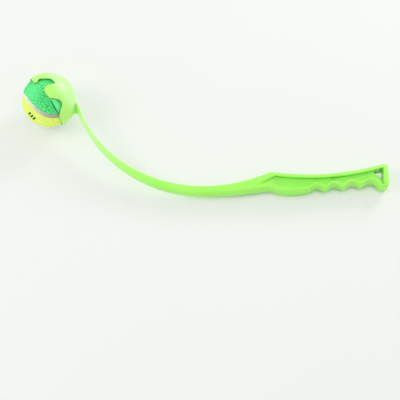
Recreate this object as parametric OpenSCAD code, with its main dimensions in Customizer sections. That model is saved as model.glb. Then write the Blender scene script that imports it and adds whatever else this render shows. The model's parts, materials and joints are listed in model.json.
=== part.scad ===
// Dog ball launcher with its two-tone felt ball, lying on its side as it rests on a table.
// The launcher is drawn flat first, with the ball's centre at the origin: x runs along the launcher
// to the butt, y points to the back edge and z goes across the thickness. rest() then lays it down.

/* [Ball] */
// Outer diameter of the ball over its felt
ball_d = 64; // [60:0.5:68]
// Wall of the hollow rubber core
core_wall = 3.6; // [2.5:0.1:6]
// Thickness of the felt
felt_t = 3.2; // [2:0.1:5]
// Width of the seam between the felt panels
seam_w = 5.6; // [2:0.1:6.5]
// How far the seam lies below the felt
seam_drop = 0.8; // [0.2:0.1:1.5]
// How the ball is turned in the cup, in degrees about x, y and z
ball_turn = [-105, 47, -140]; // [-180:1:180]

/* [Cup] */
// Gap between the ball and the cup
cup_gap = 0.9; // [0.6:0.1:1.2]
// Wall of the cup
cup_wall = 1.6; // [1.4:0.1:3]
// Angle round the ball at which the back prong ends
back_prong_end = 132; // [122:0.5:134]
// Reach of the back prong's hooked tip past the ball's centre, towards the mouth, before it is rounded
hook_reach = 13.5; // [12:0.1:15]
// Height of that tip above the ball's centre
hook_height = 9.6; // [8:0.1:11]
// Width of that tip
hook_w = 4.6; // [4:0.1:6]
// Radius of the tip's corners
hook_r = 2.6; // [1.5:0.1:2.7]
// Height of the back notch's upper edge above the ball's centre
back_notch_top = 15.1; // [13:0.1:16]
// Bottom of the back notch, along the launcher
back_notch_end = 12.2; // [11:0.1:16]
// Height of the back notch's bottom above the ball's centre
back_notch_mid = 8.9; // [7:0.1:10]
// Upper corner of the side prong above the ball's centre
side_prong_top = 4.5; // [3:0.1:5]
// Lower corner of the side prong's end below the ball's centre
side_prong_low = 3.6; // [1.5:0.1:4]
// Lower edge of the side prong below the ball's centre
side_prong_drop = 11.1; // [10:0.1:13]
// End of the side prong, along the launcher
side_prong_end = -0.4; // [-1:0.1:3]
// Bottom of the front notch, along the launcher, before it is rounded
front_notch_end = 22.4; // [20:0.1:25]
// End of the front prong below the ball's centre
front_prong_drop = 30; // [28:0.1:31]
// Inner corner of the front prong, along the launcher
front_prong_x = 14.3; // [13:0.1:17]

/* [Shaft] */
// Radius of the shaft's bow
bow_r = 163; // [140:1:190]
// Distance along the launcher from the ball to the bottom of the bow
bow_x = 190; // [176:1:200]
// Depth of the bow below the ball's centre
bow_drop = 119; // [110:1:126]
// Angle below the launcher's axis at which the shaft leaves the cup
neck_turn = 3.5; // [0:0.5:8]
// Thickness of the shaft where it leaves the cup
neck_t = 2.8; // [2:0.1:4]
// Thickness of the shaft at the bottom of the bow
shaft_t = 10.4; // [7:0.1:13]
// Width of the shaft across, at the cup
neck_w = 11; // [8:0.5:14]
// Width of the shaft across, at the bottom of the bow
bow_w = 15; // [12:0.5:18]
// Radius of the curve by which the shaft's front edge rises to the handle
front_rise_r = 400; // [300:10:600]
// Thickness of the web between the neck and the cup
gusset_t = 3; // [2:0.1:5]
// Depth of that web's lower edge below the ball's centre
gusset_drop = 19.5; // [16:0.5:24]
// Rise of the web's hollow lower edge
gusset_hollow = 2.6; // [1:0.1:4]

/* [Handle] */
// Distance along the launcher from the ball to the end of the butt
reach = 408.5; // [400:0.5:420]
// Length of the handle from its shoulder to the end of the butt
handle_l = 139.5; // [132:0.5:150]
// Thickness of the handle across
handle_w = 20; // [16:0.5:26]
// Radius of the long edges
edge_r = 3; // [1.5:0.1:4]
// Radius of the corners of the butt
butt_r = 5; // [3:0.5:7]
// Radius of the hollow back edge of the grip
grip_r = 300; // [240:10:400]
// Distance from the shoulder to the lowest point of the back edge
grip_low = 47; // [40:1:60]
// Depth of that lowest point below the ball's centre
grip_drop = 100.7; // [96:0.1:105]
// Distance from the shoulder to the belly in front of the fingers
belly_x = 15; // [12:0.5:20]
// Height of the handle from that lowest point down to the belly
handle_h = 22.5; // [21:0.1:26]
// Slope by which the front edge falls to the belly
belly_slope = 0.4; // [0.25:0.05:0.6]
// Slope by which the line of the finger grooves rises to the butt
finger_slope = 0.092; // [0.06:0.002:0.11]
// Rise of the heel above the belly
heel_rise = 5.8; // [4:0.1:8]
// Number of finger grooves
groove_n = 4; // [3:1:4]
// Spacing of the finger grooves
groove_pitch = 21.2; // [19:0.1:22]
// Radius of a finger groove
groove_r = 10.2; // [9:0.1:10.5]
// Depth of a finger groove
groove_d = 4.5; // [3:0.1:5.5]

/* [Pockets] */
// Rim left between the pocket and the end of the butt
pocket_rim = 6; // [5:0.1:8]
// Rim left between the pocket and the back edge
top_rim = 5; // [4.4:0.1:7]
// Rim left between the pocket and the finger grooves
finger_rim = 3.4; // [2.6:0.1:4]
// Web left between the two pockets
web_t = 8.6; // [3:0.1:12]
// Distance from the shoulder back to the pocket's pointed tip
pocket_tip = 20; // [14:0.5:24]
// Distance from the shoulder to where the pocket has its full height
pocket_lead = 4.6; // [3:0.1:8]
// Length of the ramp by which the pocket's floor rises to the tip
pocket_ramp = 32; // [20:1:40]
// Radius of the pocket's corners
pocket_r = 1.2; // [0.6:0.1:1.5]
// Leg of the hang hole along the launcher
hole_w = 15.6; // [10:0.1:17]
// Leg of the hang hole along the butt
hole_h = 15.6; // [10:0.1:16.5]

/* [Hidden] */

$fn = 96;
lime = [0.66, 1, 0.42];
rubber_grey = [0.3, 0.3, 0.31];
felt_green = [0.13, 0.82, 0.45];
felt_yellow = [0.85, 0.95, 0.3];
seam_pink = [0.87, 0.78, 0.74];

// Most of a wall or section that one of its rounded corners may take
corner_share = 0.45;

// Ball
ball_r = ball_d/2;
core_r = ball_r - felt_t;
// Share of the seam's first wave, as on a tennis ball
seam_wave = 0.75;
seam_steps = 96;
// Place on the wave from which it runs alike both ways
seam_start = -45;
// Reach of the star that parts the panels, clear outside the ball
star_r = 2*ball_r;

// Cup
cup_in = ball_r + cup_gap;
cup_r = cup_in + cup_wall;
cup_mid = (cup_in + cup_r)/2;
// Share of the side prong's height that its rounded end takes as radius
side_prong_share = 0.8;
// Radii of the mouth's corners, from the back prong round to the front one
hook_wall = back_notch_top - hook_height;
hook_tip_r = min(hook_r, hook_wall/2);
hook_foot_r = corner_share*hook_wall;
arch_r = 5;
notch_r = 1.2;
side_prong_r = side_prong_share*(side_prong_top + side_prong_low);
side_foot_r = 4;
front_notch_r = 4.6;
front_prong_r = 3.2;
arc_steps = 6;
// Length over which the back notch's upper edge rises from the hooked tip, and falls to the bottom
arch_rise = 0.6;
arch_fall = 5.6;
// Slope by which the side prong widens from its end
side_flare = 1.23;

// Shaft
bow_y = bow_r - bow_drop;
bow_angle = 270;
// The neck starts as a blade in the middle of the cup's wall, and the bow is drawn out to reach it
neck = cup_mid*[cos(neck_turn), -sin(neck_turn)];
neck_rise = asin((bow_y - neck[1])/bow_r);
neck_angle = 180 + neck_rise;
bow_reach = (bow_x - neck[0])/cos(neck_rise);
blade_share = 0.6;
blade_t = blade_share*cup_wall;
// Turn over which the blade grows to the neck's thickness
neck_taper = 4;

// Handle, as places along the launcher
shoulder = reach - handle_l;
grip_x = shoulder + grip_low;
belly = shoulder + belly_x;
belly_drop = grip_drop + handle_h;
heel_drop = belly_drop - heel_rise;
last_groove = reach - groove_pitch;
shoulder_blend = 3;
belly_blend = 4;
cusp_blend = 2.4;
bow_top = -bow_drop + shaft_t/2;
bow_bottom = -bow_drop - shaft_t/2;
back_rise_r = pow(shoulder - bow_x, 2)/(2*(grip_edge(shoulder) - bow_top));

// Stations of the loft
neck_step = 2.2;
shaft_step = 5;
handle_step = 1.6;
butt_steps = 5;
// Turn of the last station round the butt's corner
butt_turn = 84;
corner_steps = 4;

function unit(v) = v/norm(v);
function mix(a, b, f) = a + (b - a)*f;
function ease(f) = let (g = max(0, min(1, f))) g*g*(3 - 2*g);
// Larger and smaller of two heights, with the corner between them rounded over a height k
function round_max(a, b, k) = let (h = max(k - abs(a - b), 0)/k) max(a, b) + h*h*k/4;
function round_min(a, b, k) = -round_max(-a, -b, k);

// Back edge of the grip, a shallow arc
function grip_edge(x) = -grip_drop + grip_r - sqrt(grip_r*grip_r - pow(x - grip_x, 2));
// Line on which the cusps between the finger grooves lie
function finger_line(x) = -belly_drop + finger_slope*(x - belly);
function butt_cut(x) = let (d = max(0, x - reach + butt_r)) butt_r - sqrt(max(0, butt_r*butt_r - d*d));

// Back edge from the bottom of the bow to the butt
function back_edge(x) =
    round_min(bow_top + pow(x - bow_x, 2)/(2*back_rise_r),
        x < shoulder - 2*shoulder_blend ? 0 : grip_edge(x), shoulder_blend) - butt_cut(x);

// One finger groove, as the height of its circle over x
function groove(k, x) =
    let (gx = last_groove - k*groove_pitch, gy = finger_line(gx) + groove_d - groove_r, d = abs(x - gx))
    d < groove_r ? gy + sqrt(groove_r*groove_r - d*d) : -2*bow_r;
function grooves(x, k = 0) =
    k == groove_n ? -2*bow_r : max(groove(k, x), grooves(x, k + 1));

// Front edge from the bottom of the bow to the butt
function front_edge(x) =
    let (under = bow_bottom + pow(x - bow_x, 2)/(2*front_rise_r),
        fall = -belly_drop + belly_slope*(belly - x),
        base = x > last_groove ? -heel_drop : finger_line(x),
        grip = round_max(round_max(fall, base, belly_blend), grooves(x), cusp_blend))
    (x < belly ? round_min(under, grip, belly_blend) : grip) + butt_cut(x);

function half_width(x) =
    mix(bow_w, handle_w, ease((x - bow_x)/(belly - bow_x)))/2 - butt_cut(x)/2;

// Ring round the section between two edge points, with rounded corners
function ring(top, bottom, w) =
    let (up = unit(top - bottom), h = norm(top - bottom)/2, m = (top + bottom)/2,
        r = min(edge_r, 2*corner_share*min(h, w)))
    [for (c = [0:3], i = [0:corner_steps])
        let (a = 90*(c + i/corner_steps),
            y = (c == 0 || c == 3 ? h - r : r - h) + r*cos(a),
            z = (c < 2 ? w - r : r - w) + r*sin(a))
        [m[0] + up[0]*y, m[1] + up[1]*y, z]];

// Point of the shaft's bow at an angle, moved out from its middle
function bow_point(a, out) = [bow_x + (bow_reach + out)*cos(a), bow_y + (bow_r + out)*sin(a)];

neck_rings = [for (i = [0:ceil((bow_angle - neck_angle)/neck_step) - 1])
    let (a = neck_angle + i*neck_step, f = (a - neck_angle)/(bow_angle - neck_angle),
        t = mix(blade_t, mix(neck_t, shaft_t, sin(90*f)), min(1, i*neck_step/neck_taper)),
        w = mix(neck_w, bow_w, f)/2)
    ring(bow_point(a, -t/2), bow_point(a, t/2), w)];

// Places of the stations from the bottom of the bow to the butt
loft_start = shoulder - 3*shoulder_blend;
loft_end = reach - butt_r;
shaft_n = ceil((loft_start - bow_x)/shaft_step);
handle_n = ceil((loft_end - loft_start)/handle_step);
station_x = concat(
    [for (i = [0:shaft_n - 1]) mix(bow_x, loft_start, i/shaft_n)],
    [for (i = [0:handle_n - 1]) mix(loft_start, loft_end, i/handle_n)],
    [for (i = [0:butt_steps]) loft_end + butt_r*sin(butt_turn*i/butt_steps)],
    [reach]);
butt_rings = [for (x = station_x)
    let (s = min(x, loft_end + butt_r*sin(butt_turn)))
    ring([x, back_edge(s)], [x, front_edge(s)], half_width(s))];
rings = concat(neck_rings, butt_rings);
ring_n = len(rings[0]);

// Rounded outline: each corner is [x, y, radius]
function corner(p, q, s, r) =
    r == 0 ? [q] :
    let (u = unit(p - q), v = unit(s - q), half = acos(u*v)/2, m = q + unit(u + v)*r/sin(half),
        from = q + u*r/tan(half) - m, to = q + v*r/tan(half) - m,
        a0 = atan2(from[1], from[0]), turn = (atan2(to[1], to[0]) - a0 + 540) % 360 - 180)
    [for (i = [0:arc_steps]) m + r*[cos(a0 + turn*i/arc_steps), sin(a0 + turn*i/arc_steps)]];
function outline(c) = [for (i = [0:len(c) - 1], p = corner(
    [c[(i + len(c) - 1) % len(c)][0], c[(i + len(c) - 1) % len(c)][1]], [c[i][0], c[i][1]],
    [c[(i + 1) % len(c)][0], c[(i + 1) % len(c)][1]], c[i][2])) p];

// Mouth of the cup seen from the side: everything in front of the prongs and notches
mouth_far = 2*cup_r;
hook = [-hook_reach, hook_height];
back_rim = cup_r*[cos(back_prong_end), sin(back_prong_end)];
back_far = hook + mouth_far*unit(back_rim - hook);
hook_inner = hook + [hook_w, 0];
side_foot = side_prong_end + (side_prong_drop - side_prong_low)/side_flare;
mouth_corners = [
    [back_far[0], back_far[1], 0],
    [hook[0], hook[1], hook_tip_r],
    [hook_inner[0], hook_inner[1], hook_tip_r],
    [hook_inner[0] + arch_rise, back_notch_top, hook_foot_r],
    [back_notch_end - arch_fall, back_notch_top, arch_r],
    [back_notch_end, back_notch_mid, notch_r],
    [side_prong_end, side_prong_top, side_prong_r],
    [side_prong_end, -side_prong_low, side_prong_r],
    [side_foot, -side_prong_drop, side_foot_r],
    [front_notch_end, -side_prong_drop, front_notch_r],
    [front_prong_x, -front_prong_drop, front_prong_r],
    [front_notch_end, -front_prong_drop, 0],
    [front_notch_end, -mouth_far, 0],
    [-mouth_far, -mouth_far, 0],
    [-mouth_far, mouth_far, 0]];

// Pocket seen from the side, kept inside the handle's own edges by its rims
pocket_end = reach - pocket_rim;
pocket_start = shoulder - pocket_tip;
pocket_top_n = 24;
pocket_front_n = 60;
pocket_points = concat(
    [for (i = [0:pocket_top_n]) let (x = mix(shoulder + pocket_lead, pocket_end, i/pocket_top_n))
        [x, grip_edge(x) - top_rim]],
    [for (i = [pocket_front_n:-1:0]) let (x = mix(pocket_start, pocket_end, i/pocket_front_n))
        [x, pocket_front(x)]]);
// Lower edge of the pocket, which goes round the finger grooves at the width of the rim
function pocket_front(x) = max([for (d = [-1:0.25:1])
    front_edge(min(x + d*finger_rim, loft_end)) + finger_rim*sqrt(1 - d*d)]);

// Long side of the hang hole, across the pocket's far corner
hole_top = grip_edge(pocket_end) - top_rim;
hole_from = [pocket_end - hole_w, hole_top];
hole_to = [pocket_end, hole_top - hole_h];

// Rest pose: the cup, the belly and the heel touch the ground
belly_turn = belly_slope + finger_slope;
belly_low = belly + (1 - 2*finger_slope/belly_turn)*belly_blend/belly_turn;
belly_rest = [belly_low, front_edge(belly_low) + edge_r, edge_r - handle_w/2];
heel_rest = [loft_end, -heel_drop + edge_r, edge_r - handle_w/2];
rest_h = cup_r - edge_r;
gram = [belly_rest*belly_rest, belly_rest*heel_rest, heel_rest*heel_rest];
gram_det = gram[0]*gram[2] - gram[1]*gram[1];
in_plane = rest_h*((gram[2] - gram[1])*belly_rest + (gram[0] - gram[1])*heel_rest)/gram_det;
rest_side = unit(cross(belly_rest, heel_rest));
rest_up = -in_plane + (rest_side[2] > 0 ? 1 : -1)*sqrt(1 - in_plane*in_plane)*rest_side;
rest_x = unit([1, 0, 0] - rest_up[0]*rest_up);
rest_y = cross(rest_up, rest_x);
all_points = [for (r = rings, p = r) p];
rest_centre_x = (max([for (p = all_points) p*rest_x]) - ball_r)/2;
rest_centre_y = (min([for (p = all_points) p*rest_y]) + cup_r)/2;
rest_matrix = [
    [rest_x[0], rest_x[1], rest_x[2], -rest_centre_x],
    [rest_y[0], rest_y[1], rest_y[2], -rest_centre_y],
    [rest_up[0], rest_up[1], rest_up[2], cup_r],
    [0, 0, 0, 1]];

module rest() {
    multmatrix(rest_matrix)
        children();
}

// Shaft and handle in one loft through all the rings
module body_loft() {
    n = ring_n;
    last = len(rings) - 1;
    polyhedron(
        points = all_points,
        faces = concat(
            [[for (i = [0:n - 1]) i]],
            [for (j = [0:last - 1], i = [0:n - 1]) [j*n + i, (j + 1)*n + i, j*n + (i + 1) % n]],
            [for (j = [0:last - 1], i = [0:n - 1])
                [j*n + (i + 1) % n, (j + 1)*n + i, (j + 1)*n + (i + 1) % n]],
            [[for (i = [n - 1:-1:0]) last*n + i]]));
}

// Thin web in the corner between the neck and the cup
module neck_gusset() {
    foot_angle = 180 + asin((bow_y + gusset_drop)/bow_r);
    foot = bow_point(foot_angle, 0);
    seat = [sqrt(cup_mid*cup_mid - gusset_drop*gusset_drop), -gusset_drop];
    half_span = norm(foot - seat)/2;
    hollow_r = (half_span*half_span + gusset_hollow*gusset_hollow)/(2*gusset_hollow);
    linear_extrude(gusset_t, center = true)
        difference() {
            polygon([bow_point(neck_angle, 0), foot, seat]);
            circle(cup_mid);
            translate((foot + seat)/2 - [0, hollow_r - gusset_hollow])
                circle(hollow_r);
        }
}

module pocket_outline() {
    offset(pocket_r)
        offset(delta = -pocket_r)
            polygon(pocket_points);
}

// One pocket, open to +z, with its floor rising to the tip
module pocket() {
    depth = handle_w/2 - web_t/2;
    translate([0, 0, web_t/2])
        difference() {
            linear_extrude(2*depth)
                pocket_outline();
            translate([pocket_start, 0, 0])
                rotate([90, 0, 0])
                    linear_extrude(2*bow_r, center = true)
                        polygon([[-pocket_r, -pocket_r], [pocket_ramp, -pocket_r], [pocket_ramp, 0],
                            [0, depth], [-pocket_r, depth]]);
        }
}

// Triangular hang hole, with two of its walls in line with the pocket's
module hang_hole() {
    linear_extrude(2*web_t, center = true)
        offset(pocket_r)
            offset(delta = -pocket_r)
                intersection() {
                    pocket_outline();
                    polygon([2*hole_from - hole_to, 2*hole_to - hole_from,
                        [pocket_end + hole_w, hole_top + hole_h]]);
                }
}

// Shaft and handle with both pockets and the hang hole
module shaft_and_handle() {
    difference() {
        body_loft();
        pocket();
        mirror([0, 0, 1])
            pocket();
        hang_hole();
    }
}

// Thin clawed cup, cut straight across to the prongs' outline
module cup() {
    difference() {
        rotate([0, 90, 0])
            sphere(cup_r);
        rotate([0, 90, 0])
            sphere(cup_in);
        linear_extrude(4*cup_r, center = true)
            polygon(outline(mouth_corners));
    }
}

module launcher() {
    color(lime)
        rest()
            union() {
                cup();
                shaft_and_handle();
                neck_gusset();
            }
}

// Seam of the felt: a wave that runs round the ball, moved sideways by an angle
function seam_curve(t) = [
    seam_wave*cos(t) + (1 - seam_wave)*cos(3*t),
    seam_wave*sin(t) - (1 - seam_wave)*sin(3*t),
    2*sqrt(seam_wave*(1 - seam_wave))*sin(2*t)];
function seam_point(t, shift) =
    let (p = seam_curve(t), side = unit(cross(p, seam_curve(t + 1) - seam_curve(t - 1))))
    p*cos(shift) - side*sin(shift);

// Star from the ball's centre that holds one felt panel, widened or narrowed by a distance on the ball
module panel_star(wider) {
    n = seam_steps;
    shift = wider/ball_r*180/PI;
    polyhedron(
        points = concat([[0, 0, 0]],
            [for (i = [0:n - 1]) star_r*seam_point(360*i/n + seam_start, shift)]),
        faces = concat(
            [for (i = [0:n - 1]) [0, 1 + i, 1 + (i + 1) % n]],
            [for (i = [0:n/2 - 2]) [1 + i, n - i, 2 + i]],
            [for (i = [1:n/2 - 1]) [1 + i, 1 + n - i, n - i]]));
}

module shell(outer, inner) {
    difference() {
        sphere(outer);
        sphere(inner);
    }
}

module core_half() {
    intersection() {
        shell(core_r, core_r - core_wall);
        cylinder(h = ball_r, r = ball_r);
    }
}

module ball_core_upper_half() {
    color(rubber_grey)
        rest()
            rotate(ball_turn)
                core_half();
}

module ball_core_lower_half() {
    color(rubber_grey)
        rest()
            rotate(ball_turn)
                mirror([0, 0, 1])
                    core_half();
}

module green_felt_panel() {
    color(felt_green)
        rest()
            rotate(ball_turn)
                difference() {
                    shell(ball_r, core_r);
                    panel_star(seam_w/2);
                }
}

module yellow_felt_panel() {
    color(felt_yellow)
        rest()
            rotate(ball_turn)
                intersection() {
                    shell(ball_r, core_r);
                    panel_star(-seam_w/2);
                }
}

module ball_seam() {
    color(seam_pink)
        rest()
            rotate(ball_turn)
                difference() {
                    intersection() {
                        shell(ball_r - seam_drop, core_r);
                        panel_star(seam_w/2);
                    }
                    panel_star(-seam_w/2);
                }
}

launcher();
ball_core_upper_half();
ball_core_lower_half();
green_felt_panel();
yellow_felt_panel();
ball_seam();
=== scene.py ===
import bpy
import bmesh
import json
import math
import random
from mathutils import Matrix, Vector, kdtree, noise


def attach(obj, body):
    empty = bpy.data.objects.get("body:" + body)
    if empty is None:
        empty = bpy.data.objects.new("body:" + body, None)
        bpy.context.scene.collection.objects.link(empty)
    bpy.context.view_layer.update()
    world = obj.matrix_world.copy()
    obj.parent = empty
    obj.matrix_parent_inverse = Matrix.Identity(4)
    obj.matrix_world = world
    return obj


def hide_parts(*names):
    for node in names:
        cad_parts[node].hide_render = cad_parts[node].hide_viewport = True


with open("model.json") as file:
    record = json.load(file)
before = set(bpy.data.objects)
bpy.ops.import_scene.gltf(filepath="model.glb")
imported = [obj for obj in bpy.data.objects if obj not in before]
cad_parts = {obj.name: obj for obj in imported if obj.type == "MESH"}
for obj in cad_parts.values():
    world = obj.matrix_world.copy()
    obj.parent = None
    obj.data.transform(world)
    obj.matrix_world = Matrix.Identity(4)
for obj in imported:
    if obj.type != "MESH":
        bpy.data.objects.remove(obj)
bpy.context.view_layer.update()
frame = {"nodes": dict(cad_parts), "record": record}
nodes = frame["nodes"]
mounts = {m["name"]: m for m in frame["record"]["mounts"]}
mm = 0.001
print("frame loaded with", len(nodes), "nodes")

# the launcher's own axes, as it lies on the table
ballCentre = Vector(mounts["ball_seat"]["pos_m"])
faceAxis = Vector(mounts["hang_hole"]["axis"]).normalized()  # across its thickness
longAxis = Vector((faceAxis.z, 0, -faceAxis.x)).normalized()  # from cup to butt
backAxis = faceAxis.cross(longAxis)  # to the back edge
launcherAxes = Matrix((longAxis, backAxis, faceAxis)).transposed()


# camera

cameraView = {
    "tilt": 71,  # degrees from the launcher's middle plane to the line of sight
    "roll": 0.34,  # degrees by which the launcher is turned anticlockwise in the picture
    "distance": 1.25,  # metres to the ball, along the line of sight
    "pixel": 1.224 * mm,  # width of one pixel at the ball
    "frame": 400,  # pixels across the picture
    "ballAt": (-151.5, 99.2),  # the ball in the picture, in pixels right and up from its middle
}


def addCamera(v):
    tilt = math.radians(v["tilt"])
    ahead = launcherAxes @ Vector((0, math.cos(tilt), -math.sin(tilt)))
    level = Matrix.Rotation(math.radians(v["roll"]), 3, ahead)
    right = level @ launcherAxes @ Vector((1, 0, 0))
    up = level @ launcherAxes @ Vector((0, math.sin(tilt), math.cos(tilt)))
    across, high = (p * v["pixel"] for p in v["ballAt"])
    data = bpy.data.cameras.new("camera")
    data.lens = data.sensor_width * v["distance"] / (v["pixel"] * v["frame"])
    camera = bpy.data.objects.new("camera", data)
    turn = Matrix((right, up, -ahead)).transposed().to_4x4()
    place = ballCentre - right * across - up * high - ahead * v["distance"]
    camera.matrix_world = Matrix.Translation(place) @ turn
    bpy.context.scene.collection.objects.link(camera)
    bpy.context.scene.camera = camera


addCamera(cameraView)
print("camera set", cameraView["distance"], "m from the ball")


# material helpers

def startMaterial(name):
    mat = bpy.data.materials.new(name)
    mat.use_nodes = True
    tree = mat.node_tree
    return mat, tree, tree.nodes["Principled BSDF"]


def feed(tree, socket, value):
    if isinstance(value, bpy.types.NodeSocket):
        tree.links.new(value, socket)
    else:
        socket.default_value = value


def feedAll(tree, node, inputs):
    for name, value in inputs.items():
        feed(tree, node.inputs[name], value)


def addNode(tree, kind, inputs, **settings):
    node = tree.nodes.new("ShaderNode" + kind)
    for name, value in settings.items():
        setattr(node, name, value)
    feedAll(tree, node, inputs)
    return node


def objectCoords(tree):
    return addNode(tree, "TexCoord", {}).outputs["Object"]


def noiseAt(tree, coords, perMetre, detail=3.0, rough=0.55):
    made = addNode(tree, "TexNoise", {"Vector": coords, "Scale": perMetre,
                                      "Detail": detail, "Roughness": rough})
    return made.outputs["Fac"]


def spread(tree, value, low, high, toLow=0.0, toHigh=1.0):
    made = addNode(tree, "MapRange", {"Value": value, "From Min": low, "From Max": high,
                                      "To Min": toLow, "To Max": toHigh})
    return made.outputs["Result"]


def fade(tree, value, low, high):
    return spread(tree, value, low, high, 1.0, 0.0)


def ramp(tree, value, places, colours):
    made = addNode(tree, "ValToRGB", {"Fac": value})
    bar = made.color_ramp.elements
    while len(bar) < len(places):
        bar.new(0.5)
    for stop, place, colour in zip(bar, places, colours):
        stop.position = place
        stop.color = colour
    return made.outputs["Color"]


def mixColours(tree, amount, first, second):
    made = addNode(tree, "Mix", {0: amount, 6: first, 7: second}, data_type="RGBA")
    return made.outputs[2]


def maths(tree, how, *values):
    return addNode(tree, "Math", dict(enumerate(values)), operation=how).outputs[0]


def product(tree, value, *others):
    for other in others:
        value = maths(tree, "MULTIPLY", value, other)
    return value


def vectorMaths(tree, how, *values):
    return addNode(tree, "VectorMath", dict(enumerate(values)), operation=how).outputs


def alongAxis(tree, coords, axis, origin):
    dot = vectorMaths(tree, "DOT_PRODUCT", coords, axis)["Value"]
    return maths(tree, "SUBTRACT", dot, axis.dot(origin))


def distanceTo(tree, coords, point):
    return vectorMaths(tree, "DISTANCE", coords, point)["Value"]


def band(tree, value, half, soft):
    return spread(tree, maths(tree, "ABSOLUTE", value), half + soft, half)


def bumpOf(tree, height, distance, strength=1.0):
    made = addNode(tree, "Bump", {"Height": height, "Distance": distance, "Strength": strength})
    return made.outputs["Normal"]


def tone(red, green, blue):
    return (red, green, blue, 1.0)


def newPiece(name, bm, material, body, slotName, *replaced):
    mesh = bpy.data.meshes.new(name)
    bm.to_mesh(mesh)
    bm.free()
    mesh.materials.append(material)
    mesh.polygons.foreach_set("use_smooth", [True] * len(mesh.polygons))
    piece = bpy.data.objects.new(name, mesh)
    bpy.context.scene.collection.objects.link(piece)
    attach(piece, body)
    if replaced:
        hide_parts(*replaced)
    return piece


# launcher: the moulding with its edges softened

moulding = {
    "weld": 0.001 * mm,  # points of the CAD mesh closer than this are one
    "voxel": 0.5 * mm,  # grain of the softened mesh
    "softenings": 9,
    "softness": 0.5,
    "keep": 0.33,  # share of the faces kept after softening
    "lime": tone(0.41, 0.95, 0.135),
    "limeDeep": tone(0.35, 0.91, 0.1),
    "flow": (24, 4.0),  # slow changes of tone where the melt flowed: per metre, detail
    "flowEdge": (0.35, 0.7),
    "limeShaftPaintedLight": tone(0.52, 0.95, 0.29),  # painted light: the thin end of the shaft is painted paler, as if lit through
    "shaftLightFrom": (18 * mm, 30 * mm),  # depths below the ball over which that tone begins and fades
    "shaftLightTo": (50 * mm, 112 * mm),
    "cupPaintedLight": tone(0.46, 0.95, 0.185),  # painted light: the cup's thin wall is painted paler, as if lit through
    "cupLightReach": (34.9 * mm, 36.5 * mm),  # from the ball's centre, over which the cup's painted light and shade fade in
    "cupPaintedLitSide": tone(0.55, 0.98, 0.34),  # painted light: paler still towards the neck and the back, the side the light comes from
    "cupLitSideWay": (0.8, 0.6, 0.0),  # in launcher axes
    "cupLitSideReach": (8 * mm, 18 * mm),
    "frontClawPaintedLight": tone(0.53, 1.0, 0.215),  # painted light: the front claw is painted paler
    "frontClawLightReach": (12 * mm, 24 * mm),  # depths below the ball's centre over which its tone begins
    "cutEdgePaintedShade": tone(0.05, 0.36, 0.02),  # painted shade: the claws' cut edges are painted dark, as the shadow that lines them
    "cutShadeSlope": (0.96, 0.72),  # cosines of the angle to the ball's radius: no tone, full tone
    "cutShadeReach": (26 * mm, 23 * mm),  # along the launcher: the neck's side of the cup has none
    "recessPaintedShade": tone(0.08, 0.53, 0.004),  # painted shade: the pockets' walls and corners are painted dark
    "recessShadeReach": 6 * mm,  # how far a corner is felt
    "recessShadeFrom": (200 * mm, 240 * mm),  # from the ball's centre: the pockets alone get the painted shade
    "wallRoom": (0.5, 0.95),  # open share of the room before a wall: full tone, no tone
    "wallFacing": (0.3, 0.8),  # how far it faces the front: no tone, full tone
    "cornerRoom": (0.2, 0.36),  # the same for a corner
    "limeEdge": tone(0.5, 0.98, 0.2),  # rubbed edges
    "edgePoint": (0.52, 0.6),  # sharpness of an edge: not rubbed, rubbed most
    "edgeShare": 0.6,
    "scuff": (420, 6.0, 0.65),  # per metre, detail, roughness
    "scuffEdge": (0.3, 0.75),
    "gloss": (0.3, 0.46),  # roughness of the polished and of the scuffed plastic
    "grain": (1800, 2.0),
    "grainHeight": 0.03 * mm,
    "partingLine": 0.2 * mm,  # half width of the mould's parting line
    "partingHeight": 0.1 * mm,
    "shader": {"Subsurface Weight": 0.3, "Subsurface Radius": (0.5, 1.0, 0.25),
               "Subsurface Scale": 4 * mm, "IOR": 1.49},
}


def shaftTone(tree, v, coords, down):
    flow = noiseAt(tree, coords, *v["flow"])
    body = mixColours(tree, spread(tree, flow, *v["flowEdge"]), v["lime"], v["limeDeep"])
    # painted light: the shaft's thin end is painted a paler tone
    shaftLightShare = product(tree, spread(tree, down, *v["shaftLightFrom"]), fade(tree, down, *v["shaftLightTo"]))
    return mixColours(tree, shaftLightShare, body, v["limeShaftPaintedLight"])


def cupTone(tree, v, coords, down, normal):
    # painted light: the cup is painted paler on its lit side
    litSideShare = alongAxis(tree, coords, launcherAxes @ Vector(v["cupLitSideWay"]), ballCentre)
    cup = mixColours(tree, spread(tree, litSideShare, *v["cupLitSideReach"]), v["cupPaintedLight"], v["cupPaintedLitSide"])
    # painted light on the front claw
    cup = mixColours(tree, spread(tree, down, *v["frontClawLightReach"]), cup, v["frontClawPaintedLight"])
    radial = vectorMaths(tree, "SUBTRACT", coords, ballCentre)["Vector"]
    radial = vectorMaths(tree, "NORMALIZE", radial)["Vector"]
    slope = vectorMaths(tree, "DOT_PRODUCT", radial, normal)["Value"]
    # painted shade along the claws' cut edges
    edge = spread(tree, maths(tree, "ABSOLUTE", slope), *v["cutShadeSlope"])
    mouth = spread(tree, alongAxis(tree, coords, longAxis, ballCentre), *v["cutShadeReach"])
    return mixColours(tree, product(tree, mouth, edge), cup, v["cutEdgePaintedShade"])


# painted shade in the pockets' walls and corners, taken from their ambient occlusion
def recessShadeMask(tree, v, reach, normal):
    near = addNode(tree, "AmbientOcclusion", {"Distance": v["recessShadeReach"]}, only_local=True)
    room = near.outputs["AO"]
    front = alongAxis(tree, normal, -backAxis, Vector())
    wall = product(tree, fade(tree, room, *v["wallRoom"]), spread(tree, front, *v["wallFacing"]))
    shaded = maths(tree, "MAXIMUM", wall, fade(tree, room, *v["cornerRoom"]))
    return product(tree, shaded, spread(tree, reach, *v["recessShadeFrom"]))


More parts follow.
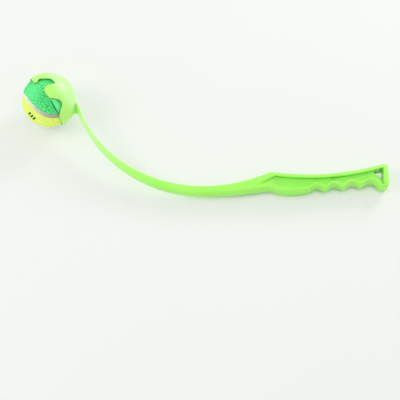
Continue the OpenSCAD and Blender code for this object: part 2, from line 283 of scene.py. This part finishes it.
def limePlastic(v):
    mat, tree, shader = startMaterial("limePlastic")
    coords = objectCoords(tree)
    surface = addNode(tree, "NewGeometry", {}).outputs
    reach = distanceTo(tree, coords, ballCentre)
    down = alongAxis(tree, coords, -backAxis, ballCentre)
    body = shaftTone(tree, v, coords, down)
    cup = cupTone(tree, v, coords, down, surface["Normal"])
    # the cup's tones, with their painted light and shade, replace the shaft's tone here
    body = mixColours(tree, fade(tree, reach, *v["cupLightReach"]), body, cup)
    # painted shade in the handle's pockets
    body = mixColours(tree, recessShadeMask(tree, v, reach, surface["Normal"]), body, v["recessPaintedShade"])
    rubbed = spread(tree, surface["Pointiness"], *v["edgePoint"], 0.0, v["edgeShare"])
    scuff = noiseAt(tree, coords, *v["scuff"])
    # the parting line runs round the middle of the thickness
    ridge = band(tree, alongAxis(tree, coords, faceAxis, ballCentre), 0.0, v["partingLine"])
    grain = bumpOf(tree, noiseAt(tree, coords, *v["grain"]), v["grainHeight"])
    lined = addNode(tree, "Bump", {"Height": ridge, "Distance": v["partingHeight"],
                                   "Normal": grain})
    feedAll(tree, shader, {
        "Base Color": mixColours(tree, rubbed, body, v["limeEdge"]),
        "Roughness": spread(tree, scuff, *v["scuffEdge"], *v["gloss"]),
        "Normal": lined.outputs["Normal"],
        **v["shader"],
    })
    return mat


def softenedCopy(node, v):
    bm = bmesh.new()
    bm.from_mesh(nodes[node].data)
    bmesh.ops.remove_doubles(bm, verts=bm.verts, dist=v["weld"])
    rough = bpy.data.meshes.new("rough")
    bm.to_mesh(rough)
    bm.free()
    helper = bpy.data.objects.new("helper", rough)
    bpy.context.scene.collection.objects.link(helper)
    remesh = helper.modifiers.new("remesh", "REMESH")
    remesh.mode = "VOXEL"
    remesh.voxel_size = v["voxel"]
    soften = helper.modifiers.new("soften", "SMOOTH")
    soften.factor = v["softness"]
    soften.iterations = v["softenings"]
    thin = helper.modifiers.new("thin", "DECIMATE")
    thin.ratio = v["keep"]
    settled = helper.evaluated_get(bpy.context.evaluated_depsgraph_get())
    made = bpy.data.meshes.new_from_object(settled)
    bpy.data.objects.remove(helper)
    soft = bmesh.new()
    soft.from_mesh(made)
    bpy.data.meshes.remove(made)
    bpy.data.meshes.remove(rough)
    return soft


softBody = softenedCopy("launcher", moulding)
print("launcher softened to", len(softBody.faces), "faces")
newPiece("launcher_moulding", softBody, limePlastic(moulding),
         "launcher", "lime_plastic", "launcher")


# ball: the seam's wave, as on any two-panel ball

ball = {
    "radius": 32 * mm,
    "core": 28.8 * mm,
    "turn": (-105, 47, -140),  # degrees about the launcher's x, y and z axes, in that order
    "wave": 0.75,  # share of the seam's first wave
    "seamWidth": 5.6 * mm,
    "steps": 720,
}
turnX, turnY, turnZ = (Matrix.Rotation(math.radians(angle), 3, axis)
                       for angle, axis in zip(ball["turn"], "XYZ"))
ballTurn = turnZ @ turnY @ turnX
ballPlace = Matrix.Translation(ballCentre) @ (launcherAxes @ ballTurn).to_4x4()


def seamWave(t):
    first, second = ball["wave"], 1 - ball["wave"]
    return Vector((first * math.cos(t) + second * math.cos(3 * t),
                   first * math.sin(t) - second * math.sin(3 * t),
                   2 * math.sqrt(first * second) * math.sin(2 * t)))


def seamFrame(t, step=0.01):
    way = seamWave(t).normalized()
    side = way.cross(seamWave(t + step) - seamWave(t - step)).normalized()
    return way, side


seamSamples = [seamFrame(2 * math.pi * i / ball["steps"]) for i in range(ball["steps"])]
seamTree = kdtree.KDTree(ball["steps"])
for index, (way, side) in enumerate(seamSamples):
    seamTree.insert(way, index)
seamTree.balance()


def seamOffset(way):
    # distance from the seam, above 0 on the yellow panel, and the way across the seam there
    side = seamSamples[seamTree.find(way)[1]][1]
    return ball["radius"] * math.asin(max(-1.0, min(1.0, way.dot(side)))), side


def moved(way, side, distance):
    return (way + side * math.tan(distance / ball["radius"])).normalized()


print("seam laid out with", ball["steps"], "samples")


# felt panels

felt = {
    "level": 7,  # rounds of splitting of the ball the panels are cut from
    "roll": 2.2 * mm,  # width over which a panel's edge rolls down to the seam
    "rollDrop": 1.0 * mm,
    "tufts": ((520, 0.2 * mm), (1150, 0.12 * mm)),  # tufts per metre and their height
    "sunk": 0.12 * mm,  # mean depth of the tufts below the ball's full size
    "flat": (0.06, 0.118),  # box of one panel as cut from the cloth
    "area": 0.0052,
    "green": (tone(0.012, 0.32, 0.055), tone(0.062, 0.68, 0.168), tone(0.195, 1.0, 0.355)),
    "yellow": (tone(0.62, 0.86, 0.08), tone(0.78, 0.99, 0.135), tone(0.93, 1.0, 0.3)),
    "mottle": (640, 3.0, 0.65),  # per metre, detail, roughness
    "mottleStops": (0.36, 0.47, 0.62),  # where the dark, middle and light tones stand
    "litPatch": (-0.55, 0.02, 0.83),  # middle of a paler patch of painted light, in launcher axes
    "litPatchReach": (18 * mm, 6 * mm),
    "litPatchShare": 0.75,
    "litPatchPale": 0.7,  # share of the light tone in it
    "fibres": (2600, 3.0, 0.7),
    "fibreHeight": 0.25 * mm,
    "fibreStrength": 0.8,
    "shader": {"Roughness": 0.95, "Specular IOR Level": 0.2,
               "Sheen Weight": 0.2, "Sheen Roughness": 0.6},
}

# a pucker in the green felt: a groove with painted shade at its bottom, and a strip of painted
# light on its right
crease = {
    "from": (0.225, -0.385, 0.895),  # its ends on the ball, in launcher axes
    "to": (0.442, -0.723, 0.531),
    "half": 1.0 * mm,  # half width of the groove
    "depth": 0.8 * mm,
    "shade": tone(0.006, 0.2, 0.035),  # painted shade at its bottom
    "bottom": 0.25,  # share of the half width that is full shade
    "ends": (0.85, 0.25),  # shares of the half length: full tone, and the fading beyond it
    "side": (0.3, 0.5),  # radii over the ball's middle at which its side of the ball begins
    "litStripWidth": 6.5 * mm,  # width of the strip of painted light
    "litStripCore": 0.3,  # share of that width at which it is palest
    "litStripShare": 0.9,
}
creaseFrom, creaseTo = (Vector(crease[end]) for end in ("from", "to"))
creaseSide = creaseFrom.cross(creaseTo).normalized()
creaseRun = (creaseTo - creaseFrom).normalized()
creaseMid = (creaseFrom + creaseTo).normalized()
creaseReach = ball["radius"] * (creaseTo - creaseFrom).length / 2

# a printed mark of three plain bars on the yellow felt
mark = {
    "way": (-0.56, -0.77, 0.3),  # its middle on the ball, in launcher axes
    "run": (0.64, -0.64, -0.42),  # the way the bars follow each other
    "bars": 3,
    "pitch": 4.0 * mm,
    "barWidth": 2.3 * mm,
    "barLength": 7.6 * mm,
    "widthEdge": 0.2 * mm,  # softness of the ink's edges
    "lengthEdge": 0.3 * mm,
    "rowEdge": 0.1 * mm,
    "side": (0.0, 0.2),  # radii over the ball's middle at which its side of the ball begins
    "ink": tone(0.012, 0.014, 0.01),
    "rubbed": (900, 3.0),
    "rubbedEdge": (0.3, 0.42),
    "cover": (0.55, 0.96),  # of the ink where it is rubbed and where it is whole
}


def facing(tree, coords, way, side):
    high = alongAxis(tree, coords, way, ballCentre)
    return spread(tree, high, *(share * ball["radius"] for share in side))


def creaseMasks(tree, coords, v):
    middle = ballCentre + launcherAxes @ creaseMid * ball["radius"]
    run = alongAxis(tree, coords, launcherAxes @ creaseRun, middle)
    off = alongAxis(tree, coords, launcherAxes @ creaseSide, ballCentre)
    ends = product(tree, facing(tree, coords, launcherAxes @ creaseMid, v["side"]),
                   band(tree, run, *(share * creaseReach for share in v["ends"])))
    bottom = v["bottom"] * v["half"]
    groove = band(tree, off, bottom, v["half"] - bottom)
    fromMiddle = maths(tree, "ABSOLUTE", maths(tree, "SUBTRACT", off, v["litStripWidth"] / 2))
    litStrip = spread(tree, fromMiddle, v["litStripWidth"] / 2, v["litStripCore"] * v["litStripWidth"])
    return product(tree, ends, groove), product(tree, ends, litStrip, v["litStripShare"])


def barMask(tree, coords, v):
    way = (launcherAxes @ Vector(v["way"])).normalized()
    across = way.cross(launcherAxes @ Vector(v["run"])).normalized()
    middle = ballCentre + way * ball["radius"]
    step = alongAxis(tree, coords, across.cross(way), middle)
    wrapped = maths(tree, "WRAP", step, v["pitch"] / 2, -v["pitch"] / 2)
    bars = band(tree, wrapped, v["barWidth"] / 2, v["widthEdge"])
    row = band(tree, step, v["bars"] * v["pitch"] / 2, v["rowEdge"])
    sideways = alongAxis(tree, coords, across, middle)
    length = band(tree, sideways, v["barLength"] / 2, v["lengthEdge"])
    cover = spread(tree, noiseAt(tree, coords, *v["rubbed"]), *v["rubbedEdge"], *v["cover"])
    return product(tree, bars, row, length, facing(tree, coords, way, v["side"]), cover)


def feltMaterial(name, v, tones, creased=False, printed=False):
    middle, light = tones[1:]
    mat, tree, shader = startMaterial(name)
    coords = objectCoords(tree)
    mottled = ramp(tree, noiseAt(tree, coords, *v["mottle"]), v["mottleStops"], tones)
    # painted light: a paler, less mottled patch where the light falls brightest
    litPatchAt = ballCentre + launcherAxes @ Vector(v["litPatch"]) * ball["radius"]
    reach = distanceTo(tree, coords, litPatchAt)
    litPatch = product(tree, spread(tree, reach, *v["litPatchReach"]), v["litPatchShare"])
    colour = mixColours(tree, litPatch, mottled, mixColours(tree, v["litPatchPale"], middle, light))
    if creased:
        groove, litStrip = creaseMasks(tree, coords, crease)
        # painted light beside the crease, and painted shade in its groove
        colour = mixColours(tree, litStrip, colour, light)
        colour = mixColours(tree, groove, colour, crease["shade"])
    if printed:
        colour = mixColours(tree, barMask(tree, coords, mark), colour, mark["ink"])
    fibres = noiseAt(tree, coords, *v["fibres"])
    feedAll(tree, shader, {
        "Base Color": colour,
        "Normal": bumpOf(tree, fibres, v["fibreHeight"], v["fibreStrength"]),
        "Sheen Tint": light,
        **v["shader"],
    })
    return mat


def tuftRise(way):
    point = way * ball["radius"]
    return sum(high * noise.noise(point * often) for often, high in felt["tufts"]) - felt["sunk"]


def creaseDrop(way, v):
    seen = ballTurn @ way
    run = (seen - creaseMid).dot(creaseRun) * ball["radius"]
    off = seen.dot(creaseSide) * ball["radius"]
    if seen.dot(creaseMid) < v["side"][1] or abs(off) > v["half"] or abs(run) > creaseReach:
        return 0.0
    return v["depth"] * (1 - (off / v["half"]) ** 2) * (1 - (run / creaseReach) ** 2)


def feltPanel(v, sign):
    half = ball["seamWidth"] / 2
    bm = bmesh.new()
    bmesh.ops.create_icosphere(bm, subdivisions=v["level"], radius=1.0)
    offset = {vert: sign * seamOffset(vert.co)[0] for vert in bm.verts}
    outside = [f for f in bm.faces if sum(offset[vert] for vert in f.verts) < len(f.verts) * half]
    bmesh.ops.delete(bm, geom=outside, context="FACES")
    rim = {vert for edge in bm.edges if edge.is_boundary for vert in edge.verts}
    for vert in bm.verts:
        way = vert.co.normalized()
        away, side = seamOffset(way)
        if vert in rim:
            way = moved(way, side, sign * half - away)
            away = sign * half
        inner = max(0.0, min(1.0, (sign * away - half) / v["roll"]))
        roll = v["rollDrop"] * (1 - math.sqrt(1 - (1 - inner) ** 2))
        vert.co = way * (ball["radius"] - roll + tuftRise(way) * inner
                         - creaseDrop(way, crease) * inner)
    back = bmesh.ops.extrude_face_region(bm, geom=bm.faces[:], use_keep_orig=True)["geom"]
    for vert in back:
        if isinstance(vert, bmesh.types.BMVert):
            vert.co = vert.co.normalized() * ball["core"]
    bmesh.ops.recalc_face_normals(bm, faces=bm.faces)
    bm.transform(ballPlace)
    return bm


greenFelt = feltMaterial("greenFelt", felt, felt["green"], creased=True)
yellowFelt = feltMaterial("yellowFelt", felt, felt["yellow"], printed=True)
greenPiece = newPiece("green_felt", feltPanel(felt, -1), greenFelt,
                      "ball", "green_felt", "green_felt_panel")
yellowPiece = newPiece("yellow_felt", feltPanel(felt, 1), yellowFelt,
                       "ball", "yellow_felt", "yellow_felt_panel")


# nap: loose fibres that stand out of the felt

nap = {
    "fibres": 5000,  # on each panel
    "batch": 200,
    "length": (1.2 * mm, 2.2 * mm),
    "sides": 3,
    "thick": 0.05 * mm,  # radius at the root
    "tipShare": 0.3,  # of that radius at the tip
    "root": 31.6 * mm,  # from the ball's centre
    "tip": (31.9 * mm, 32.2 * mm),
    "margin": 1.2 * mm,  # bare width beside the seam
    "seed": 7,
}


def randomWay(dice):
    high = dice.uniform(-1, 1)
    turn = dice.uniform(0, 2 * math.pi)
    flat = math.sqrt(1 - high * high)
    return Vector((flat * math.cos(turn), flat * math.sin(turn), high))


def fibreMatrix(v, way, dice):
    length = dice.uniform(*v["length"])
    rise = dice.uniform(*v["tip"]) - v["root"]
    lie = way.cross(randomWay(dice)).normalized()
    lean = (lie * math.sqrt(length * length - rise * rise) + way * rise).normalized()
    turn = lean.to_track_quat("Z", "Y").to_matrix().to_4x4()
    return Matrix.Translation(way * v["root"] + lean * length / 2) @ turn, length


def napFibres(v, sign, dice):
    bm = bmesh.new()
    half = ball["seamWidth"] / 2 + v["margin"]
    left = v["fibres"]
    while left > 0:
        tuft = bmesh.new()
        for fibre in range(min(v["batch"], left)):
            way = randomWay(dice)
            while sign * seamOffset(way)[0] < half:
                way = randomWay(dice)
            place, length = fibreMatrix(v, way, dice)
            bmesh.ops.create_cone(tuft, cap_ends=True, cap_tris=True, segments=v["sides"],
                                  radius1=v["thick"], radius2=v["tipShare"] * v["thick"],
                                  depth=length, matrix=place)
        left -= v["batch"]
        batch = bpy.data.meshes.new("batch")
        tuft.to_mesh(batch)
        tuft.free()
        bm.from_mesh(batch)
        bpy.data.meshes.remove(batch)
    bm.transform(ballPlace)
    return bm


napDice = random.Random(nap["seed"])
newPiece("green_nap", napFibres(nap, -1, napDice), greenFelt, "ball", "green_felt")
newPiece("yellow_nap", napFibres(nap, 1, napDice), yellowFelt, "ball", "yellow_felt")
print("nap laid with", 2 * nap["fibres"], "fibres")


# seam bead

bead = {
    "stations": 360,
    "profile": 10,
    "weld": 0.01 * mm,
    "crown": 0.75 * mm,  # depth of the bead's crown below the felt
    "edge": 1.15 * mm,  # depth of its edges
    "tuck": 0.35 * mm,  # how far it goes under the felt on each side
    "pale": (tone(0.86, 0.85, 0.69), tone(0.76, 0.74, 0.58)),
    "stains": (240, 5.0),  # per metre, detail
    "stainEdge": (0.35, 0.7),
    "darkerToCup": tone(0.44, 0.41, 0.34),  # darker towards the cup
    "darkerToCupReach": (-24 * mm, 4 * mm),  # along the launcher, from the ball's centre
    "pits": (1500, 3.0),
    "pitDepth": 0.12 * mm,
    "roughness": 0.75,
}


def seamCement(v):
    mat, tree, shader = startMaterial("seamCement")
    coords = objectCoords(tree)
    stains = noiseAt(tree, coords, *v["stains"])
    clean = mixColours(tree, spread(tree, stains, *v["stainEdge"]), *v["pale"])
    # the bead grows darker towards the cup
    darkerToCup = spread(tree, alongAxis(tree, coords, longAxis, ballCentre), *v["darkerToCupReach"])
    feedAll(tree, shader, {
        "Base Color": mixColours(tree, darkerToCup, clean, v["darkerToCup"]),
        "Normal": bumpOf(tree, noiseAt(tree, coords, *v["pits"]), v["pitDepth"]),
        "Roughness": v["roughness"],
    })
    return mat


def seamBead(v):
    bm = bmesh.new()
    bmesh.ops.create_grid(bm, x_segments=v["stations"], y_segments=v["profile"], size=0.5)
    half = ball["seamWidth"] / 2 + v["tuck"]
    for vert in bm.verts:
        along, across = vert.co.x + 0.5, 2 * vert.co.y
        way, side = seamFrame(2 * math.pi * along)
        vert.co = moved(way, side, across * half) * (ball["radius"] - v["crown"]
                                                    - (v["edge"] - v["crown"]) * across ** 2)
    bmesh.ops.remove_doubles(bm, verts=bm.verts, dist=v["weld"])
    bmesh.ops.recalc_face_normals(bm, faces=bm.faces)
    bmesh.ops.solidify(bm, geom=bm.faces[:], thickness=ball["radius"] - v["edge"] - ball["core"])
    bm.transform(ballPlace)
    return bm


beadPiece = newPiece("seam_bead", seamBead(bead), seamCement(bead),
                     "ball", "seam_rubber", "ball_seam")
print("seam bead laid with", len(beadPiece.data.polygons), "faces")


# core halves, hidden under the felt

core = {
    "tones": (tone(0.05, 0.05, 0.052), tone(0.1, 0.1, 0.1)),
    "cloud": (300, 4.0),  # per metre, detail
    "grain": 1200,
    "grainHeight": 0.1 * mm,
    "roughness": 0.7,
}


def coreRubber(v):
    mat, tree, shader = startMaterial("coreRubber")
    coords = objectCoords(tree)
    feedAll(tree, shader, {
        "Base Color": mixColours(tree, noiseAt(tree, coords, *v["cloud"]), *v["tones"]),
        "Normal": bumpOf(tree, noiseAt(tree, coords, v["grain"]), v["grainHeight"]),
        "Roughness": v["roughness"],
    })
    return mat


coreMaterial = coreRubber(core)
for name in ("ball_core_upper_half", "ball_core_lower_half"):
    nodes[name].data.materials.clear()
    nodes[name].data.materials.append(coreMaterial)
print("core halves finished")


# stage: a pale floor, two soft lamps and a sky that is a little brighter above

stage = {
    "floorSize": 6.0,
    "floor": (tone(0.815, 0.84, 0.805), tone(0.855, 0.875, 0.84)),
    "haze": (3.0, 2.0),  # per metre, detail
    "bounce": tone(0.93, 0.95, 0.92),  # its tone in the light that it throws back at the object
    "shader": {"Roughness": 0.8, "Specular IOR Level": 0.2},
    "floorGlow": 0.46,  # share of the floor's own light to the camera, which thins the shadows
    "contact": 6 * mm,  # reach of the dark line where the object touches the floor
    "contactRoom": (0.4, 0.85),  # open share of the room over the floor: no glow, full glow
    "backdrop": 0.92,  # strength of the sky where it is seen
    "sky": (0.71, 0.88),  # strength of its dim and its bright part
    "skyTone": tone(1.0, 1.0, 1.0),
    "bright": (0.15, -0.2, 0.97),  # middle of the bright part
    "brightEdge": (0.4, 0.9),  # cosines of the angles at which the bright part begins and is full
    "lamps": [  # place from the object's middle, size, watts
        ((-1.2, -0.2, 1.05), 0.8, 6.5),
        ((1.05, 1.1, 0.75), 0.6, 12.3),
    ],
}


def seenDirectly(tree):
    path = addNode(tree, "LightPath", {}).outputs
    mirrored = maths(tree, "MAXIMUM", path["Is Glossy Ray"], path["Is Transmission Ray"])
    return maths(tree, "MAXIMUM", path["Is Camera Ray"], mirrored)


def paleFloor(v):
    mat, tree, shader = startMaterial("paleFloor")
    seen = seenDirectly(tree)
    pale = mixColours(tree, noiseAt(tree, objectCoords(tree), *v["haze"]), *v["floor"])
    feedAll(tree, shader, {"Base Color": mixColours(tree, seen, v["bounce"], pale), **v["shader"]})
    glow = addNode(tree, "Emission", {"Color": v["floor"][1]}).outputs["Emission"]
    room = addNode(tree, "AmbientOcclusion", {"Distance": v["contact"]}).outputs["AO"]
    share = product(tree, seen, spread(tree, room, *v["contactRoom"], 0.0, v["floorGlow"]))
    both = addNode(tree, "MixShader", {0: share, 1: shader.outputs["BSDF"], 2: glow})
    feed(tree, tree.nodes["Material Output"].inputs["Surface"], both.outputs["Shader"])
    return mat


def addFloor(v):
    bm = bmesh.new()
    bmesh.ops.create_grid(bm, x_segments=2, y_segments=2, size=v["floorSize"] / 2)
    mesh = bpy.data.meshes.new("floor")
    bm.to_mesh(mesh)
    bm.free()
    mesh.materials.append(paleFloor(v))
    floor = bpy.data.objects.new("floor", mesh)
    bpy.context.scene.collection.objects.link(floor)


def addLamps(v):
    for number, (place, size, watts) in enumerate(v["lamps"]):
        data = bpy.data.lights.new(f"lamp{number}", "AREA")
        data.energy = watts
        data.size = size
        lamp = bpy.data.objects.new(f"lamp{number}", data)
        lamp.location = place
        lamp.rotation_mode = "QUATERNION"
        lamp.rotation_quaternion = (-Vector(place)).to_track_quat("-Z", "Y")
        bpy.context.scene.collection.objects.link(lamp)


def addSky(v):
    world = bpy.data.worlds.new("sky")
    world.use_nodes = True
    tree = world.node_tree
    way = addNode(tree, "TexCoord", {}).outputs["Generated"]  # in a world this is the way looked
    towards = vectorMaths(tree, "DOT_PRODUCT", way, Vector(v["bright"]).normalized())["Value"]
    light = spread(tree, towards, *v["brightEdge"], *v["sky"])
    shown = addNode(tree, "Mix", {0: seenDirectly(tree), 2: light, 3: v["backdrop"]}).outputs[0]
    feedAll(tree, tree.nodes["Background"], {"Color": v["skyTone"], "Strength": shown})
    bpy.context.scene.world = world


for add in (addFloor, addLamps, addSky):
    add(stage)
bpy.context.scene.view_settings.view_transform = "Standard"
print("stage set")
